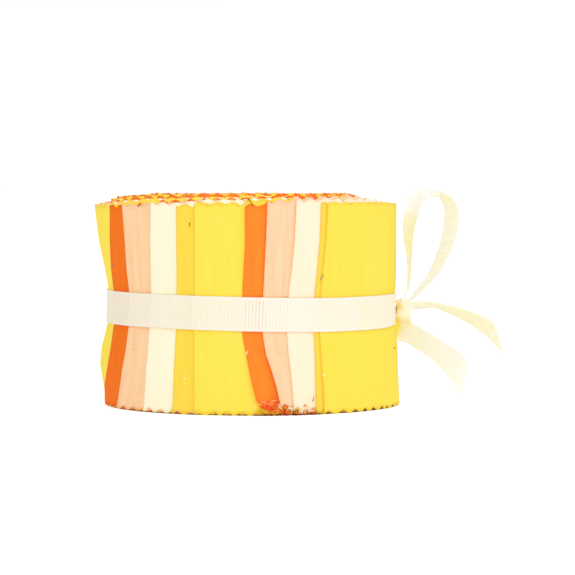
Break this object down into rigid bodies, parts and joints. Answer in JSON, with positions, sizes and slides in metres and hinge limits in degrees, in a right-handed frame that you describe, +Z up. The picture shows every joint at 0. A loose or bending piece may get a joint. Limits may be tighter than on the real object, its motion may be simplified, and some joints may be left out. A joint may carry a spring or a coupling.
{
  "type": "fabric strip roll",
  "caption": "Roll of pre-cut quilting cotton strips with pinked edges, tied round its waist with a narrow ribbon in a one-loop bow.",
  "frame": {"origin": "on the surface that the roll stands on, under the centre of the box of the roll with its bow; the roll's own axis is 15.8 mm to -X of it", "axes": "+Z up along the roll's axis, +X towards the bow, -Y towards the side where the strips' cut ends show"},
  "size_m": [0.1316, 0.0973, 0.0682],
  "materials": {
    "cotton": "plain-woven quilting cotton in yellow, gold, orange, peach and cream, with pinked edges",
    "ribbon": "cream ribbed ribbon with plain selvedges"
  },
  "bodies": {
    "root": {"strip_roll": "cotton", "ribbon_band": "ribbon", "ribbon_knot": "ribbon", "ribbon_loop": "ribbon", "ribbon_tail_upper": "ribbon", "ribbon_tail_lower": "ribbon"}
  },
  "joints": []
}
